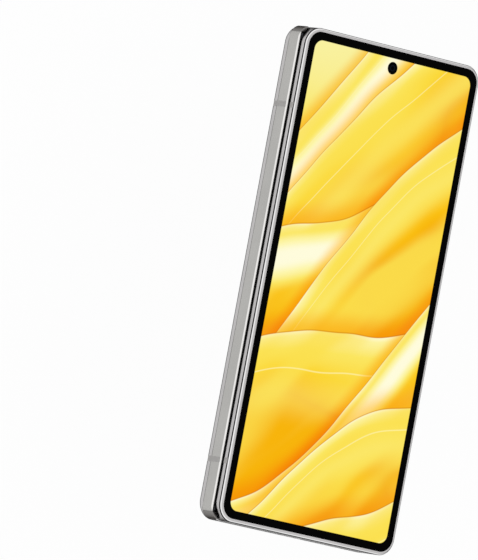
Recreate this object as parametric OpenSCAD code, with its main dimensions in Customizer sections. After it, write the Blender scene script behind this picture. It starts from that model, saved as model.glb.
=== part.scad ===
// Foldable smartphone, closed like a book and lying on its back.
// X runs across the phone: hinge edge at -X, open edge with the keys at +X.
// Y runs along the phone, top at +Y. Z is up: cover screen on top, rear cameras below.
// Each half is drawn in its own height: 0 at its outer glass, half_t at its inner face.

/* [Body] */
// Width of each half, from hinge edge to open edge
half_w = 72.8; // [69:0.1:78]
// Length of the phone
half_l = 158.4; // [150:0.1:168]
// Thickness of one half, from outer glass to inner face
half_t = 5.5; // [5.4:0.1:6.4]
// Gap between the closed halves
fold_gap = 0.3; // [0.2:0.05:0.5]
// Corner radius of the frames, seen from above
corner_r = 5.8; // [4.6:0.1:6.2]
// Chamfer on the outer edge of a frame
rim_chamfer = 0.7; // [0.4:0.05:0.8]
// Flat rim between that chamfer and the glass
rim_flat = 0.45; // [0.15:0.05:0.6]
// Chamfer on the inner edge of a frame
lip_chamfer = 0.2; // [0.1:0.05:0.3]
// Thickness of the frame's side wall
side_wall = 1.7; // [1.5:0.1:2.2]
// Thickness of the frame's end walls, which hold the hinge arms
end_wall = 4.4; // [4.3:0.1:6]
// Thickness of the plate that carries the inner screen
mid_plate_t = 0.45; // [0.3:0.05:0.6]

/* [Glass and screens] */
// Thickness of the outer glasses
glass_t = 0.65; // [0.5:0.05:0.8]
// Chamfer on the edge of the outer glasses
glass_chamfer = 0.12; // [0.05:0.01:0.2]
// Thickness of every screen panel
panel_t = 0.6; // [0.4:0.05:0.7]
// Depth of the inner screen below its bezel
screen_drop = 0.25; // [0.15:0.05:0.3]
// Width of the inner bezel along the open edge
bezel_side = 2.4; // [2:0.1:4]
// Width of the inner bezel along top and bottom
bezel_end = 3.6; // [3.5:0.1:5]
// Black border of the cover screen
cover_border = 2.6; // [1.5:0.1:4]
// Radius of the camera hole in the screens
punch_r = 1.85; // [1.2:0.05:2.5]
// Distance of the camera hole from the glass edge
punch_y = 5.7; // [5:0.1:9]

/* [Hinge] */
// Depth of each hinge axis below the inner face
axis_depth = 1.1; // [1:0.05:1.3]
// Distance of the spine's outer face from the hinge axes
spine_face = 1.85; // [1.7:0.05:1.95]
// Reach of the spine past the cover half's hinge axis
spine_reach = 1.1; // [1:0.05:1.3]
// Reach of the spine past the rear half's hinge axis
spine_reach_rear = 1.3; // [1:0.05:1.4]
// Chamfer on the spine's edge beside the cover half
spine_chamfer = 0.4; // [0.3:0.05:0.5]
// Chamfer on the spine's edge beside the rear half
spine_chamfer_rear = 0.15; // [0.1:0.05:0.4]
// Wall of the spine cover
spine_wall = 0.35; // [0.25:0.05:0.4]
// Corner radius of the spine's ends, seen from above
spine_corner_r = 4.2; // [3:0.1:4.2]
// Seam between the halves when the phone lies open
open_seam = 0.1; // [0.05:0.05:0.3]
// Clearance of the spine in the halves
pocket_gap = 0.12; // [0.08:0.01:0.2]
// Radius of the hinge pins
pin_r = 0.5; // [0.4:0.05:0.6]
// Running clearance of the pins in the gears
pin_gap = 0.03; // [0.01:0.01:0.06]
// Teeth of each hinge gear
gear_teeth = 12; // [10:2:14]
// Width of each hinge gear
gear_w = 0.8; // [0.5:0.05:0.9]
// Width of each hinge arm
arm_w = 0.65; // [0.5:0.05:0.7]
// Length of the arm's foot in the frame
arm_foot = 4.6; // [4:0.1:8]
// Thickness of the bracket plates that hold the pins
plate_w = 0.42; // [0.3:0.02:0.45]

/* [Cameras] */
// Distance of the lenses from the open edge of the glass
lens_x = 14.6; // [12:0.1:18]
// Distance of the first lens from the top edge of the glass
lens_y = 13; // [11:0.1:18]
// Distance between lenses
lens_pitch = 15.8; // [15.2:0.1:18]
// Radius of the camera island's round ends
island_r = 9.8; // [8.5:0.1:11]
// Height of the camera island
island_t = 0.7; // [0.4:0.1:1.5]
// Height of the lens rings above the island
ring_t = 1.6; // [1:0.1:2.5]
// Radius of the lens rings at the island
ring_r = 7.35; // [6.9:0.05:7.5]
// Taper of the lens rings
ring_taper = 0.4; // [0.1:0.05:0.6]
// Width of the bright lip round each lens
ring_lip = 0.55; // [0.3:0.05:0.8]
// Radius of the flash
flash_r = 1.9; // [1.4:0.1:2.5]
// Distance of the flash from the open edge of the glass
flash_x = 29; // [27:0.1:34]
// Distance of the flash from the top edge of the glass
flash_y = 18.4; // [14:0.1:26]

/* [Keys and tray] */
// Length of the volume key
volume_l = 17.7; // [14:0.1:20]
// Centre of the volume key, from the middle of the phone
volume_y = 31.5; // [30:0.1:36]
// Length of the power key
power_l = 14.9; // [10:0.1:16]
// Centre of the power key, from the middle of the phone
power_y = 11.8; // [6:0.1:12]
// Width of the keys
key_w = 2.1; // [1.6:0.1:2.4]
// Height of the keys above the frame
key_proud = 0.35; // [0.3:0.05:0.5]
// Travel of the keys
key_travel = 0.25; // [0.15:0.05:0.3]
// Clearance of the keys in their slots
key_gap = 0.08; // [0.05:0.01:0.15]
// Width of the card tray
tray_w = 11.2; // [10.6:0.1:13]
// Length of the card tray behind its face
tray_l = 16.2; // [15:0.1:20]
// Thickness of the card tray
tray_t = 0.9; // [0.7:0.05:1.1]
// Place of the card tray, from the middle of the half
tray_x = -17; // [-19:0.1:-15]

/* [Sockets and sound] */
// Inner width of the charging socket
usb_w = 8.34; // [8.3:0.01:8.4]
// Inner height of the charging socket
usb_h = 2.56; // [2.5:0.01:2.6]
// Depth of the charging socket
usb_l = 6.8; // [6:0.1:8]
// Number of speaker holes
speaker_holes = 6; // [4:1:7]
// Radius of a speaker hole
speaker_r = 0.6; // [0.4:0.05:0.7]
// Distance between speaker holes
speaker_pitch = 2; // [1.7:0.1:2.2]

/* [Inner parts] */
// Gap round what lies inside a half
inner_gap = 0.2; // [0.1:0.05:0.4]
// Gap at the ends of the batteries
battery_gap = 0.6; // [0.4:0.1:4]
// Length of the loudspeaker
speaker_l = 10.8; // [9:0.1:12]
// Radius of the vibration motor
motor_r = 4; // [3:0.1:4.5]
// Thickness of the circuit boards
board_t = 0.6; // [0.5:0.05:0.8]
// Antenna bands, width along the frame
band_w = 1.7; // [1:0.1:3]
// Antenna bands, depth in the metal
band_t = 0.15; // [0.1:0.01:0.2]
// Distance of the upper antenna bands from the middle
band_top_y = 53.5; // [46:0.1:60]
// Distance of the lower antenna bands from the middle
band_bottom_y = 60.5; // [50:0.1:64]

/* [Hidden] */
$fn = 64;
far = 400;
slip = 0.02;
glue = 0.05;
axis_gap = 2 * axis_depth + fold_gap;
flange_reach = (axis_gap - open_seam) / 2;
spine_proud = spine_face - flange_reach;
total_w = half_w + spine_proud + key_proud;
x_spine = -total_w / 2;
x_edge = x_spine + spine_proud;
x_open = x_edge + half_w;
x_axis = x_edge + flange_reach;
x_mid = (x_edge + x_open) / 2;
y_end = half_l / 2;
bump_t = island_t + ring_t;
phone_t = 2 * half_t + fold_gap;
z_mid = bump_t + half_t + fold_gap / 2;

// Heights inside a half
z_axis = half_t - axis_depth;
z_screen = half_t - screen_drop - panel_t;
z_plate = z_screen - mid_plate_t;
z_seat = glass_t + glue;
glass_inset = rim_chamfer + rim_flat;
hole_z = (z_seat + z_plate) / 2;

// Hinge section: the spine has to turn inside the round pockets of both halves
spine_h = axis_gap / 2 + spine_reach;
spine_h_rear = axis_gap / 2 + spine_reach_rear;
function corner_sweep(reach, c) = max(norm([spine_face, reach - c]), norm([spine_face - c, reach]));
spine_sweep = max(corner_sweep(spine_reach, spine_chamfer), corner_sweep(spine_reach_rear, spine_chamfer_rear));
pocket_r = spine_sweep + pocket_gap;
pocket_mouth = max(sqrt(pocket_r * pocket_r - flange_reach * flange_reach), spine_face + pocket_gap);
lip_x = 1.2;
spine_depth = 20;
gear_r = axis_gap / 2;
gear_tip = gear_r + 0.14;
gear_root = gear_r - 0.21;
hub_r = pin_r + 0.48;
fold_r = (fold_gap + 2 * screen_drop + panel_t) / 2;
fold_x = 0.15;

// Slices of the hinge at each end of the phone, counted from the end
y_screen = y_end - glass_inset - bezel_end;
y_plate_in = y_screen + 0.05;
y_gear = y_plate_in + plate_w + 0.05;
y_arm = y_gear + gear_w;
y_plate_out = y_arm + arm_w + 0.05;
y_cap = y_plate_out + plate_w;
arm_z0 = z_axis - 0.75;
arm_z1 = z_screen - glue;
foot_x0 = x_axis + pocket_r + 0.3;
foot_x1 = foot_x0 + arm_foot;
foot_y0 = y_plate_in + 0.5;
screw_r = 0.35;
screw_head_r = 0.6;
screw_head_t = 0.3;
screw_bite = 1;
screw_x = foot_x1 - 1.1;
screw_y = (foot_y0 + y_arm + arm_w) / 2;

// Space inside a half
cavity_x0 = x_axis + pocket_r + 0.9;
cavity_x1 = x_open - side_wall;
cavity_y = y_end - end_wall;
cavity_w = cavity_x1 - cavity_x0;
cavity_x = (cavity_x0 + cavity_x1) / 2;
cavity_r = 0.6;

// Cameras and flash, seen from the back
cam_x = x_open - glass_inset - lens_x;
cam_y = [for (i = [0:2]) y_end - glass_inset - lens_y - i * lens_pitch];
flash_pos = [x_open - glass_inset - flash_x, y_end - glass_inset - flash_y];
barrel_r = 4.9;
barrel_hole = 5.1;
lens_r = ring_r - ring_taper - ring_lip;
lens_t = 0.6;
lens_drop = 0.1;
camera_base = 11.2;
led_w = 2;
camera_z1 = z_plate - inner_gap;

// Keys
key_side = half_t / 2 + 0.15;
key_flange = 0.4;
key_rim = 0.45;
key_x0 = x_open - side_wall;

// Card tray
tray_z = hole_z - tray_t / 2;
tray_face_l = 12.4;
tray_face_h = 1.9;
tray_face_t = 1.1;
tray_gap = 0.06;
tray_mid_x = cavity_x + tray_x;

// Socket, speaker and microphone along the bottom edge
usb_x = cavity_x;
usb_wall = 0.3;
speaker_x = usb_x + 9.5;
mic_x = usb_x - 7.6;
top_mic_x = x_mid + 14;
mic_r = 0.45;

// Batteries, between the loudspeaker and motor at the bottom and the lowest camera
motor_y = -cavity_y + inner_gap + speaker_l + 1 + motor_r;
motor_x = cavity_x1 - 7;
battery_y0 = motor_y + motor_r + battery_gap;
battery_y1 = cam_y[2] - camera_base / 2 - battery_gap;
battery_y = (battery_y0 + battery_y1) / 2;
battery_l = battery_y1 - battery_y0;
battery_w = cavity_w - 2 * inner_gap - 4;
battery_r = 1.5;
battery_edge = 0.3;
battery_z0 = z_seat + 0.55;
coil_t = 0.3;
coil_r = 21;
coil_bore = 11;

// Boards, above the batteries; each narrows beside the cameras or the keys
board_z = 2.7;
cover_board_z = board_z + 0.3;
board_y0 = battery_y1 + 2;
board_y1 = cavity_y - inner_gap;
board_step_l = 16.6;
board_step_y = board_y1 - board_step_l;
board_camera_gap = 1;
cover_board_step_l = 26.6;
cover_board_step_y = board_y1 - cover_board_step_l;
cover_board_edge = 4;
cover_board_leg = 8;
inner_camera_r = 3;
cover_camera_seat = [6, 5.2];
cover_camera_gap = [0.5, 1.9];

// Shield cans and chips: distance from the hinge side of the cavity and from the top of the
// board, then width, length and height
cans = [[2, 10.6, 18, 20, 1.3], [22, 19.6, 11, 11, 1.3], [2, 1.1, 12, 7, 1]];
chips = [[3, 8.6, 14, 14, 1.3], [21, 14.6, 8, 8, 0.9], [42, 12.6, 12, 8, 0.9]];

// Earpiece, behind its slot in the edge of the cover glass
ear_slot_l = 11;
ear_slot_w = 0.7;
ear_slot_out = 0.35;
ear_x = 5;
ear_l = 8;
ear_w = 4.8;

// Switches behind the keys
switch_r = 1;
switch_t = 0.6;
strip_t = 0.4;
strip_w = 2.2;

silver = [0.74, 0.74, 0.73];
satin = [0.82, 0.83, 0.84];
black = [0.04, 0.04, 0.05];
steel = [0.6, 0.61, 0.63];
board_green = [0.1, 0.28, 0.2];
screen_yellow = [0.95, 0.77, 0.1];

// A half in its place: the rear half below, the cover half mirrored above it
module rear_place() {
    translate([0, 0, bump_t]) children();
}

module cover_place() {
    translate([0, 0, bump_t + phone_t]) mirror([0, 0, 1]) children();
}

module both_ends() {
    children();
    mirror([0, 1, 0]) children();
}

// Cross-section of a flat body with chamfered edges, half width h
function edge_section(h, z0, z1, c0, c1) = concat(
    [[-(h - c0), z0], [h - c0, z0]],
    c0 > 0 ? [[h, z0 + c0]] : [],
    c1 > 0 ? [[h, z1 - c1]] : [],
    [[h - c1, z1], [-(h - c1), z1]],
    c1 > 0 ? [[-h, z1 - c1]] : [],
    c0 > 0 ? [[-h, z0 + c0]] : []
);

function corner_section(r, z0, z1, c0, c1) = concat(
    [[0, z0], [r - c0, z0]],
    c0 > 0 ? [[r, z0 + c0]] : [],
    c1 > 0 ? [[r, z1 - c1]] : [],
    [[r - c1, z1], [0, z1]]
);

// Flat body with round corners of radius r and chamfered faces, half sizes xh and yh
module slab(xh, yh, r, z0, z1, c0 = 0, c1 = 0) {
    if (yh > r) {
        rotate([90, 0, 0])
            linear_extrude(height = 2 * (yh - r), center = true)
                polygon(edge_section(xh, z0, z1, c0, c1));
    }
    if (xh > r) {
        rotate([90, 0, 90])
            linear_extrude(height = 2 * (xh - r), center = true)
                polygon(edge_section(yh, z0, z1, c0, c1));
    }
    for (x = xh > r ? [-1, 1] : [0], y = yh > r ? [-1, 1] : [0]) {
        translate([x * (xh - r), y * (yh - r), 0])
            rotate_extrude()
                polygon(corner_section(r, z0, z1, c0, c1));
    }
}

// Slab with the outline of a half, drawn in by inset
module half_slab(inset, z0, z1, c0 = 0, c1 = 0) {
    translate([x_mid, 0, 0])
        slab(half_w / 2 - inset, y_end - inset, corner_r - inset, z0, z1, c0, c1);
}

module box(x0, x1, y0, y1, z0, z1) {
    translate([x0, y0, z0]) cube([x1 - x0, y1 - y0, z1 - z0]);
}

// Prism along Y of an X-Z outline, from y0 to y1
module prism_y(points, y0, y1) {
    translate([0, y1, 0])
        rotate([90, 0, 0])
            linear_extrude(height = y1 - y0)
                polygon(points);
}

// Rod along Y
module rod_y(x, z, r, y0, y1) {
    translate([x, y1, z])
        rotate([90, 0, 0])
            cylinder(r = r, h = y1 - y0);
}

// Round-ended bar lying across the bottom edge, from y0 to y1
module slot_y(x, z, w, h, y0, y1) {
    box(x - (w - h) / 2, x + (w - h) / 2, y0, y1, z - h / 2, z + h / 2);
    for (s = [-1, 1]) {
        rod_y(x + s * (w - h) / 2, z, h / 2, y0, y1);
    }
}

// Round-ended bar standing out of the open edge, from x0 to x1
module pill_x(y, z, l, w, x0, x1, c = 0) {
    translate([x0, y, z])
        rotate([0, 90, 0])
            slab(w / 2, l / 2, w / 2, 0, x1 - x0, 0, c);
}

// Frames

module hinge_pocket() {
    rod_y(x_axis, z_axis, pocket_r, -far, far);
    box(-far, x_axis, -far, far, z_axis - pocket_mouth, far);
    box(x_axis - slip, x_axis + pocket_r, -far, far, z_axis, far);
}

module arm_seat() {
    both_ends() {
        box(x_axis, foot_x1 + slip, y_arm - slip, y_arm + arm_w + slip, arm_z0 - slip, far);
        box(foot_x0 - slip, foot_x1 + slip, foot_y0 - slip, y_arm + arm_w + slip, arm_z0 - slip, far);
        translate([screw_x, screw_y, arm_z0 - screw_bite - 0.2]) cylinder(r = screw_r, h = screw_bite + 1);
    }
}

// Recess of the inner screen and its bezel
module screen_recess() {
    intersection() {
        half_slab(glass_inset, z_screen, far);
        box(x_axis, far, -far, far, 0, far);
    }
}

module band_marks(x0, x1, z0, z1) {
    for (y = [band_top_y, -band_bottom_y]) {
        box(x0, x1, y - band_w / 2, y + band_w / 2, z0, z1);
    }
}

// Antenna bands on both long edges of a half; out is how far a cut for them reaches past the metal
module half_bands(out = 0) {
    z0 = rim_chamfer;
    band_marks(x_open - band_t, x_open + out, z0, half_t - lip_chamfer);
    band_marks(x_edge - out, x_edge + band_t, z0, z_axis - pocket_mouth);
}

module half_frame() {
    difference() {
        half_slab(0, 0, half_t, rim_chamfer, lip_chamfer);
        hinge_pocket();
        half_slab(glass_inset - slip, -1, z_seat);
        translate([cavity_x, 0, 0])
            slab(cavity_w / 2, cavity_y, cavity_r, 0, z_plate);
        screen_recess();
        arm_seat();
        half_bands(1);
    }
}

module rear_frame() {
    color(silver) rear_place() difference() {
        half_frame();
        slot_y(usb_x, hole_z, usb_w + 0.2, usb_h + 0.2, -y_end - 1, -y_end + 1);
        slot_y(usb_x, hole_z, usb_w + 2 * usb_wall + slip, usb_h + 2 * usb_wall + slip, -y_end + 0.5, -cavity_y + 1);
        for (i = [0:speaker_holes - 1]) {
            rod_y(speaker_x + i * speaker_pitch, hole_z, speaker_r, -y_end - 1, -cavity_y + 1);
        }
        rod_y(mic_x, hole_z, mic_r, -y_end - 1, -cavity_y + 1);
        slot_y(tray_mid_x, hole_z, tray_face_l, tray_face_h, -y_end - 1, -y_end + tray_face_t + slip);
        box(tray_mid_x - tray_w / 2 - tray_gap, tray_mid_x + tray_w / 2 + tray_gap,
            -y_end, -cavity_y + 1, tray_z - tray_gap, tray_z + tray_t + tray_gap);
        translate([x_mid, y_screen - punch_y, z_plate - 1]) cylinder(r = punch_r, h = 2);
    }
}

module cover_frame() {
    color(silver) cover_place() difference() {
        half_frame();
        half_slab(glass_inset + cover_border - slip, z_seat - slip, z_seat + panel_t + slip);
        key_slot(volume_y, volume_l);
        key_slot(power_y, power_l);
        slot_y(x_mid, glass_t, ear_slot_l, ear_slot_w, y_end - glass_inset - 0.3, y_end - glass_inset + ear_slot_out);
        rod_y(top_mic_x, hole_z, mic_r, cavity_y - 1, y_end + 1);
    }
}

// Outer glasses, screens and bezels

module rear_glass() {
    color(satin) rear_place() difference() {
        half_slab(glass_inset, 0, glass_t, glass_chamfer, 0);
        for (y = cam_y) {
            translate([cam_x, y, -1]) cylinder(r = barrel_hole, h = far);
        }
        translate([flash_pos.x, flash_pos.y, -1]) cylinder(r = flash_r + slip, h = far);
    }
}

module cover_glass() {
    color(black) cover_place() half_slab(glass_inset, 0, glass_t, glass_chamfer, 0);
}

// Lit panel below the cover glass, with a hole for the camera
module cover_screen() {
    inset = glass_inset + cover_border;
    color(screen_yellow) cover_place() difference() {
        half_slab(inset, z_seat, z_seat + panel_t);
        translate([x_mid, y_end - glass_inset - punch_y, 0]) cylinder(r = punch_r + 0.1, h = far);
    }
}

module inner_screen() {
    box(x_axis + pocket_r + slip, x_open - glass_inset - bezel_side - slip,
        -y_screen, y_screen, z_screen, z_screen + panel_t);
}

module inner_screen_rear() {
    color(screen_yellow) rear_place() difference() {
        inner_screen();
        translate([x_mid, y_screen - punch_y, 0]) cylinder(r = punch_r + 0.1, h = far);
    }
}

module inner_screen_cover() {
    color(screen_yellow) cover_place() inner_screen();
}

// Black bezel round three sides of the inner screen
module bezel() {
    difference() {
        intersection() {
            half_slab(glass_inset + slip, z_screen, half_t, 0, lip_chamfer);
            box(x_axis + pocket_r + slip, far, -far, far, 0, far);
        }
        box(-far, x_open - glass_inset - bezel_side, -y_screen - slip, y_screen + slip, -1, far);
    }
}

module rear_bezel() {
    color(black) rear_place() bezel();
}

module cover_bezel() {
    color(black) cover_place() bezel();
}

// Flexible middle of the inner screen: a loop inside the spine
module screen_fold() {
    z_c = z_mid;
    outer = fold_r + panel_t / 2;
    inner = fold_r - panel_t / 2;
    x_c = x_axis - fold_x;
    color(screen_yellow) {
        difference() {
            union() {
                rod_y(x_c, z_c, outer, -y_screen, y_screen);
                box(x_c, x_axis + pocket_r, -y_screen, y_screen, z_c - outer, z_c + outer);
            }
            rod_y(x_c, z_c, inner, -far, far);
            box(x_c, far, -far, far, z_c - inner, z_c + inner);
        }
    }
}

// Rear cameras

module camera_island() {
    mid_y = cam_y[1];
    color(satin) rear_place() difference() {
        translate([cam_x, mid_y, 0])
            slab(island_r, lens_pitch + island_r, island_r, -island_t, 0, island_t * 0.55, 0);
        for (y = cam_y) {
            translate([cam_x, y, -far]) cylinder(r = barrel_hole, h = far + 1);
        }
    }
}

// Tapered metal ring with a ledge that holds the lens glass
module lens_ring(i) {
    top_r = ring_r - ring_taper;
    ledge = lens_drop + lens_t;
    color(silver) rear_place()
        translate([cam_x, cam_y[i], -bump_t])
            rotate_extrude()
                polygon([[lens_r + slip, 0.08], [lens_r + 0.1, 0], [top_r - 0.12, 0], [top_r, 0.12],
                    [ring_r, ring_t], [barrel_hole, ring_t], [barrel_hole, ledge], [lens_r + slip, ledge]]);
}

module lens_glass(i) {
    color(black) rear_place()
        translate([cam_x, cam_y[i], -bump_t + lens_drop])
            rotate_extrude()
                polygon([[0, 0], [lens_r - 0.15, 0], [lens_r, 0.15], [lens_r, lens_t], [0, lens_t]]);
}

// Barrel with a stepped aperture on a square base
module camera_module(i) {
    z0 = -bump_t + lens_drop + lens_t + glue;
    base_z = z_seat + inner_gap;
    color(black) rear_place()
        translate([cam_x, cam_y[i], 0])
            difference() {
                union() {
                    translate([0, 0, z0]) cylinder(r = barrel_r, h = base_z - z0 + slip);
                    translate([-camera_base / 2, -camera_base / 2, base_z])
                        cube([camera_base, camera_base, camera_z1 - base_z]);
                }
                translate([0, 0, z0 - 1]) cylinder(r = 2.6, h = 1.5);
                translate([0, 0, z0]) cylinder(r1 = 2.6, r2 = 1.2, h = 1.4);
            }
}

module flash_lens() {
    color([0.98, 0.93, 0.8]) rear_place()
        translate([flash_pos.x, flash_pos.y, 0])
            rotate_extrude()
                polygon([[0, -0.12], [flash_r - 0.2, -0.12], [flash_r, 0.05], [flash_r, glass_t], [0, glass_t]]);
}

module flash_led() {
    color([0.95, 0.8, 0.2]) rear_place()
        translate([flash_pos.x - led_w / 2, flash_pos.y - led_w / 2, z_seat])
            cube([led_w, led_w, board_z - z_seat]);
}

// Boards, batteries and small parts inside the rear half

module main_board() {
    x0 = cavity_x0 + inner_gap;
    color(board_green) rear_place() difference() {
        union() {
            box(x0, cavity_x1 - inner_gap, board_step_y, board_y1, board_z, board_z + board_t);
            box(x0, cam_x - camera_base / 2 - board_camera_gap, board_y0, board_step_y, board_z, board_z + board_t);
        }
        for (y = cam_y) {
            translate([cam_x - camera_base / 2 - inner_gap, y - camera_base / 2 - inner_gap, 0])
                cube([camera_base + 2 * inner_gap, camera_base + 2 * inner_gap, far]);
        }
        translate([x_mid, y_screen - punch_y, 0]) cylinder(r = inner_camera_r + inner_gap, h = far);
    }
}

// Boxes on a board whose lower side is at z
module mounted(parts, z) {
    for (p = parts) {
        box(cavity_x0 + p[0], cavity_x0 + p[0] + p[2], board_y1 - p[1] - p[3], board_y1 - p[1], z - p[4], z);
    }
}

module shield_cans() {
    color(steel) rear_place() mounted(cans, board_z);
}

module battery(z0) {
    translate([cavity_x, battery_y, 0])
        slab(battery_w / 2, battery_l / 2, battery_r, z0, z_plate - inner_gap, battery_edge, battery_edge);
}

module rear_battery() {
    color([0.16, 0.16, 0.18]) rear_place() battery(battery_z0);
}

module charging_coil() {
    color([0.72, 0.45, 0.25]) rear_place()
        translate([cavity_x, battery_y, battery_z0 - coil_t - glue])
            difference() {
                cylinder(r = coil_r, h = coil_t);
                translate([0, 0, -1]) cylinder(r = coil_bore, h = coil_t + 2);
            }
}

module usb_shell() {
    color(steel) rear_place() difference() {
        slot_y(usb_x, hole_z, usb_w + 2 * usb_wall, usb_h + 2 * usb_wall, -y_end + 0.5 + slip, -y_end + usb_l + 0.8);
        slot_y(usb_x, hole_z, usb_w, usb_h, -y_end, -y_end + usb_l);
    }
}

module usb_tongue() {
    color(black) rear_place() {
        box(usb_x - 3.35, usb_x + 3.35, -y_end + 1.6, -y_end + usb_l, hole_z - 0.35, hole_z + 0.35);
        box(usb_x - 3.6, usb_x + 3.6, -y_end + usb_l - 1.6, -y_end + usb_l, hole_z - 0.55, hole_z + 0.55);
    }
}

module loudspeaker() {
    x1 = cavity_x1 - inner_gap;
    color(black) rear_place()
        box(speaker_x - 2, x1, -cavity_y + inner_gap, -cavity_y + inner_gap + speaker_l,
            z_seat + inner_gap, z_plate - inner_gap);
}

module vibration_motor() {
    color(steel) rear_place()
        translate([motor_x, motor_y, z_seat + inner_gap])
            cylinder(r = motor_r, h = z_plate - z_seat - 2 * inner_gap);
}

// Metal cage in which the card tray slides
module card_reader() {
    z0 = tray_z - tray_gap;
    z1 = tray_z + tray_t + tray_gap;
    w = tray_w / 2 + tray_gap;
    color(steel) rear_place() difference() {
        box(tray_mid_x - w - 0.3, tray_mid_x + w + 0.3, -cavity_y + 0.1, -y_end + tray_face_t + tray_l + 1, z0 - 0.25, z1 + 0.25);
        box(tray_mid_x - w, tray_mid_x + w, -far, -y_end + tray_face_t + tray_l + 0.4, z0, z1);
    }
}

module rear_antenna_bands() {
    color([0.6, 0.6, 0.58]) rear_place() half_bands();
}

module inner_camera() {
    color(black) rear_place()
        translate([x_mid, y_screen - punch_y, 0])
            difference() {
                union() {
                    translate([0, 0, z_plate]) cylinder(r = punch_r - 0.1, h = panel_t + mid_plate_t - 0.05);
                    translate([0, 0, z_seat + 1]) cylinder(r = inner_camera_r, h = z_plate - z_seat - 1);
                }
                translate([0, 0, z_screen + panel_t - 0.5]) cylinder(r1 = 0.5, r2 = 1.2, h = 0.5);
            }
}

// Hinge

function tooth(a, back) = [
    for (s = [[-1, gear_root - 0.1, 0.19], [-1, gear_r, 0.13], [-1, gear_tip, 0.07],
              [1, gear_tip, 0.07], [1, gear_r, 0.13], [1, gear_root - 0.1, 0.19]])
        [s[1] * cos(a) - s[0] * s[2] * sin(a), s[1] * sin(a) + s[0] * s[2] * cos(a)]
];

// Gear and arm of one half, at both ends; first is the direction of the first tooth
module hinge_gears(first) {
    both_ends() difference() {
        union() {
            translate([x_axis, y_gear + gear_w, z_axis])
                rotate([90, 0, 0])
                    linear_extrude(height = gear_w) union() {
                        circle(r = gear_root);
                        for (i = [0:gear_teeth - 1]) {
                            polygon(tooth(first + i * 360 / gear_teeth));
                        }
                    }
            rod_y(x_axis, z_axis, hub_r, y_arm - slip, y_arm + arm_w);
            box(x_axis, foot_x1, y_arm, y_arm + arm_w, arm_z0, arm_z1);
            box(foot_x0, foot_x1, foot_y0, y_arm + slip, arm_z0, arm_z1);
        }
        rod_y(x_axis, z_axis, pin_r + pin_gap, -far, far);
        translate([screw_x, screw_y, 0]) cylinder(r = screw_r + slip, h = far);
        translate([screw_x, screw_y, arm_z1 - screw_head_t]) cylinder(r = screw_head_r + slip, h = 1);
    }
}

module arm_screws() {
    both_ends() translate([screw_x, screw_y, 0]) {
        translate([0, 0, arm_z0 - screw_bite]) cylinder(r = screw_r - slip, h = arm_z1 - arm_z0 + screw_bite);
        translate([0, 0, arm_z1 - screw_head_t]) cylinder(r = screw_head_r, h = screw_head_t);
    }
}

module rear_hinge_gears() {
    color(steel) rear_place() hinge_gears(90);
}

module cover_hinge_gears() {
    color(steel) cover_place() hinge_gears(90 + 180 / gear_teeth);
}

module rear_arm_screws() {
    color(steel) rear_place() arm_screws();
}

module cover_arm_screws() {
    color(steel) cover_place() arm_screws();
}

// Plan of the spine with round ends, drawn in by inset
module spine_plan(inset) {
    r = spine_corner_r - inset;
    translate([0, 0, z_mid - far / 2])
        linear_extrude(height = far) {
            translate([x_spine + spine_corner_r, -y_end + inset]) square([spine_depth, half_l - 2 * inset]);
            translate([x_spine + inset, -y_end + spine_corner_r]) square([spine_depth, half_l - 2 * spine_corner_r]);
            for (s = [-1, 1]) {
                translate([x_spine + spine_corner_r, s * (y_end - spine_corner_r)]) circle(r = r);
            }
        }
}

// Outline of the spine's outer face and chamfers, closed at x1
function spine_outline(x1) = [
    for (p = [[x1, -spine_h_rear], [spine_chamfer_rear - spine_face, -spine_h_rear],
              [-spine_face, spine_chamfer_rear - spine_h_rear],
              [-spine_face, spine_h - spine_chamfer], [spine_chamfer - spine_face, spine_h], [x1, spine_h]])
        [x_axis + p[0], z_mid + p[1]]
];

module spine_cover() {
    wall = spine_wall - 0.05;
    color(silver) difference() {
        intersection() {
            prism_y(spine_outline(-lip_x), -y_cap, y_cap);
            spine_plan(0);
        }
        intersection() {
            box(x_axis - spine_face + spine_wall, far, -far, far,
                z_mid - spine_h_rear + wall, z_mid + spine_h - wall);
            spine_plan(spine_wall);
        }
        spine_marks(1);
    }
}

module spine_marks(out = 0) {
    band_marks(x_spine - out, x_spine + band_t,
        z_mid + spine_chamfer_rear - spine_h_rear, z_mid + spine_h - spine_chamfer);
}

module spine_antenna_marks() {
    color([0.6, 0.6, 0.58]) spine_marks();
}

// Solid ends of the spine
module spine_end_caps() {
    color(silver) both_ends() intersection() {
        prism_y(spine_outline(1.1), y_cap, y_end);
        spine_plan(0);
    }
}

// Dark channel that fills the spine beside the loop of the screen
module hinge_chassis() {
    back = x_axis - spine_face + spine_wall + slip;
    web = x_axis - fold_x - fold_r - panel_t / 2 - 0.1;
    wall = spine_wall - 0.03;
    z_rail = fold_r + panel_t / 2 + 0.15;
    color(black) difference() {
        union() {
            box(back, x_axis - 0.3, -y_screen, y_screen, z_mid - spine_h_rear + wall, z_mid + spine_h - wall);
            box(x_axis - lip_x + slip, x_axis - 0.3, -y_screen, y_screen,
                z_mid - spine_h_rear + 0.05, z_mid + spine_h - 0.05);
        }
        box(web, far, -far, far, z_mid - z_rail, z_mid + z_rail);
        both_ends() box(-far, x_axis - spine_face + spine_wall + 0.4, y_end - spine_corner_r - 0.5, far, 0, far);
    }
}

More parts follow.
